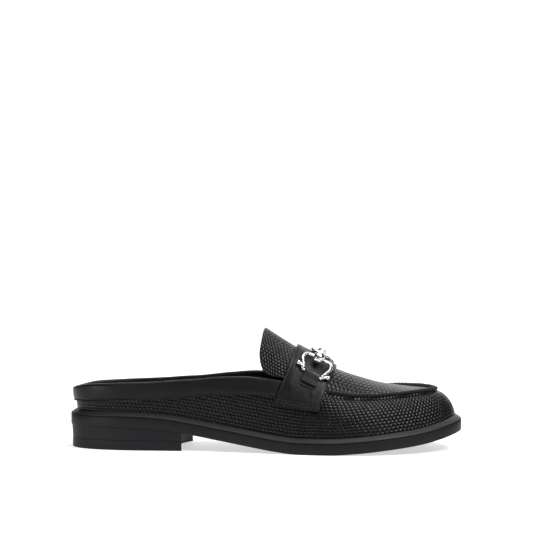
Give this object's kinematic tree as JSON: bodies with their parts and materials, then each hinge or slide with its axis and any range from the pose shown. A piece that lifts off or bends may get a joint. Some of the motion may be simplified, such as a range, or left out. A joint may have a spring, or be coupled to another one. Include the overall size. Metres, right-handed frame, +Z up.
{
  "type": "loafer",
  "caption": "Right backless loafer with an apron toe, low open quarters, a stand-up tongue, a saddle strap with a snaffle-bit ornament, a bevelled welt and a low stacked heel.",
  "frame": {"origin": "on the floor, under the middle of the outsole's length and width", "axes": "+X to the toe, +Y to the inner side of the foot, +Z up"},
  "size_m": [0.265, 0.0934, 0.081],
  "materials": {
    "sole_rubber": "satin",
    "heel_stack": "satin, with fine level stack lines",
    "welt_strip": "satin",
    "insole_leather": "matt",
    "embossed_leather": "satin, embossed with small scales",
    "smooth_leather": "satin, smooth",
    "polished_metal": "polished"
  },
  "bodies": {
    "root": {"top_lift": "sole_rubber", "heel": "heel_stack", "outsole": "sole_rubber", "welt": "welt_strip", "insole": "insole_leather", "upper": "embossed_leather", "tongue": "embossed_leather", "topline_band": "smooth_leather", "saddle_strap": "smooth_leather", "keeper_lateral": "smooth_leather", "keeper_medial": "smooth_leather", "bit_ring_lateral": "polished_metal", "bit_ring_medial": "polished_metal", "bit_link": "polished_metal"}
  },
  "joints": []
}
